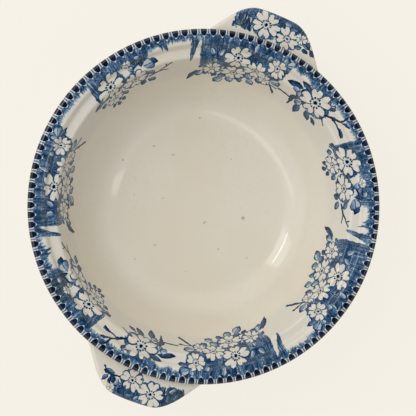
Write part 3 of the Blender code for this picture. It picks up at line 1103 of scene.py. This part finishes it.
def bare_tread(tree, place, colour, roughness, height):
    """The foot's tread, wiped clean of glaze and rubbed grey by tables."""
    _, _, z = separated(tree, place)
    edge = noise(tree, place, 300, 2, 0.6) * 0.5 + 0.25
    bare = (z / MM - edge).smooth(0.35, 0.0)
    grime = noise(tree, place, 420, 3, 0.7).smooth(0.35, 0.65)
    clay = mixed_colour(tree, grime * 0.6, BARE_CLAY, GRIME_COLOUR)
    grain = noise(tree, place, 1900, 2, 0.6) * 0.05
    colour = mixed_colour(tree, bare, colour, clay)
    return colour, roughness.towards(0.75, bare), height + grain * bare - bare * 0.05


# The stage: floor, lights and camera

STAGE_HALF_SIZE = 6
PAPER_COLOUR = (0.10, 0.095, 0.085)
PAPER_GLOW = (0.92, 0.88, 0.80, 1)
PAPER_GLOW_STRENGTH = 0.877
ROOM_COLOUR = (1.0, 0.945, 0.875, 1)
ROOM_DIM = 0.455
ROOM_LIFT = 0.60
BRIGHT_SIDE = (70, 35)
LAMP_COLOUR = (0.95, 0.99, 1.08)
LAMP_DISTANCE = 1.6

# Each softbox's direction as azimuth and elevation, width, height and power, and whether the glaze
# mirrors it
SOFTBOXES = {
    "key": ((78, 49), 0.46, 1.0, 3.5, True),
    "key_edge": ((80, 51), 0.42, 0.05, 0.8, True),
    "fill": ((-80, 65), 0.13, 0.34, 0.36, True),
    "window": ((162, 54), 1.9, 0.30, 2.5, True),
    "overhead": ((78, 73), 0.9, 0.9, 5.4, False),
}


def flat_colour(name, colour, roughness):
    made = bpy.data.materials.new(name)
    made.use_nodes = True
    shader = made.node_tree.nodes["Principled BSDF"]
    shader.inputs["Base Color"].default_value = (*colour, 1)
    shader.inputs["Roughness"].default_value = roughness
    return made


def make_floor():
    mesh = bpy.data.meshes.new("studio_floor")
    shape = bmesh.new()
    bmesh.ops.create_grid(shape, x_segments=1, y_segments=1, size=STAGE_HALF_SIZE)
    shape.to_mesh(mesh)
    shape.free()
    floor = bpy.data.objects.new("studio_floor", mesh)
    bpy.context.scene.collection.objects.link(floor)
    paper = flat_colour("pale_paper", PAPER_COLOUR, 0.9)
    shader = paper.node_tree.nodes["Principled BSDF"]
    shader.inputs["Emission Color"].default_value = PAPER_GLOW
    shader.inputs["Emission Strength"].default_value = PAPER_GLOW_STRENGTH
    floor.data.materials.append(paper)


def softbox(name, towards, width, height, power, mirrored):
    """A rectangular light that faces the bowl. Towards is (azimuth, elevation)."""
    direction = aimed(*towards)
    data = bpy.data.lights.new(name, "AREA")
    data.shape = "RECTANGLE"
    data.size = width
    data.size_y = height
    data.energy = power
    data.color = LAMP_COLOUR
    lamp = bpy.data.objects.new(name, data)
    lamp.location = Vector((0, 0, HEIGHT / 2)) + direction * LAMP_DISTANCE
    lamp.rotation_euler = direction.to_track_quat("Z", "Y").to_euler()
    lamp.visible_glossy = mirrored
    bpy.context.scene.collection.objects.link(lamp)


VIEW_UP = math.radians(21)
CAMERA_TILT = math.radians(8.4)
CAMERA_DISTANCE = 0.9
AIM_OFFSET = (-0.0005, -0.00096)
CAMERA_LENS = 115.8


def make_camera():
    """Looks almost straight down, from a little to one side, with +X towards the upper right."""
    up = Vector((math.cos(VIEW_UP), math.sin(VIEW_UP), 0))
    side = Vector((-up.y, up.x, 0))
    rim_centre = Vector((0, 0, HEIGHT))
    aim = rim_centre + AIM_OFFSET[0] * side + AIM_OFFSET[1] * up
    data = bpy.data.cameras.new("camera")
    data.lens = CAMERA_LENS
    data.sensor_width = 36
    camera = bpy.data.objects.new("camera", data)
    back = (Vector((0, 0, 1)) * math.cos(CAMERA_TILT) + side * math.sin(CAMERA_TILT)).normalized()
    camera.location = aim + back * CAMERA_DISTANCE
    right = up.cross(back).normalized()
    true_up = back.cross(right)
    turn = Matrix((right, true_up, back)).transposed()
    camera.rotation_euler = turn.to_euler()
    bpy.context.scene.collection.objects.link(camera)
    bpy.context.scene.camera = camera


def aimed(azimuth, elevation):
    """A unit vector from the bowl towards a direction in degrees."""
    turn, lift = math.radians(azimuth), math.radians(elevation)
    return Vector((math.cos(lift) * math.cos(turn), math.cos(lift) * math.sin(turn), math.sin(lift)))


def make_lights():
    """A studio room with a dark ceiling, lighter on one side, and its softboxes."""
    world = bpy.data.worlds.new("studio")
    world.use_nodes = True
    tree = world.node_tree
    towards = add_node(tree, "TexCoord", {}).outputs["Generated"]
    bright_side = tuple(aimed(*BRIGHT_SIDE))
    facing = Field(vector_math(tree, "DOT_PRODUCT", towards, bright_side, "Value"))
    _, _, height = separated(tree, towards)
    ceiling = height.smooth(0.85, 0.95)
    strength = (facing.smooth(-0.6, 1.0) * ROOM_LIFT + ROOM_DIM) * (1 - ceiling * 0.97)
    background = tree.nodes["Background"]
    background.inputs["Color"].default_value = ROOM_COLOUR
    tree.links.new(strength.socket, background.inputs["Strength"])
    bpy.context.scene.world = world
    for name, settings in SOFTBOXES.items():
        softbox(name, *settings)


def settle(piece, node):
    """The piece rides on the one rigid body and stands for its CAD node."""
    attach(piece, "root")
    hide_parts(node)


def main():
    printed = glazed("printed_glaze", rim_print, turning_rings)
    settle(turned("bowl", body_profile(), printed), "bowl_body")
    foot_glaze = glazed("foot_glaze", None, bare_tread)
    settle(turned("foot", foot_profile(), foot_glaze, ring=True), "foot_ring")
    slip_glaze = glazed("slip_under_glaze")
    settle(turned("foot_slip", foot_slip_profile(), slip_glaze, ring=True), "foot_luting_slip")
    for side, turn, sign, plate in (("right", 0, 1, LUG_RIGHT), ("left", math.pi, -1, LUG_LEFT)):
        lug_glaze = glazed(f"printed_lug_{side}", lambda tree, place: lug_print(tree, place, sign, plate))
        settle(make_handle(f"handle_{side}", turn, lug_glaze), f"lug_handle_{side}")
        slip = make_handle_slip(f"handle_slip_{side}", turn, slip_glaze)
        settle(slip, f"handle_luting_slip_{side}")
    make_floor()
    make_lights()
    make_camera()
    bpy.context.scene.view_settings.view_transform = "Standard"


main()
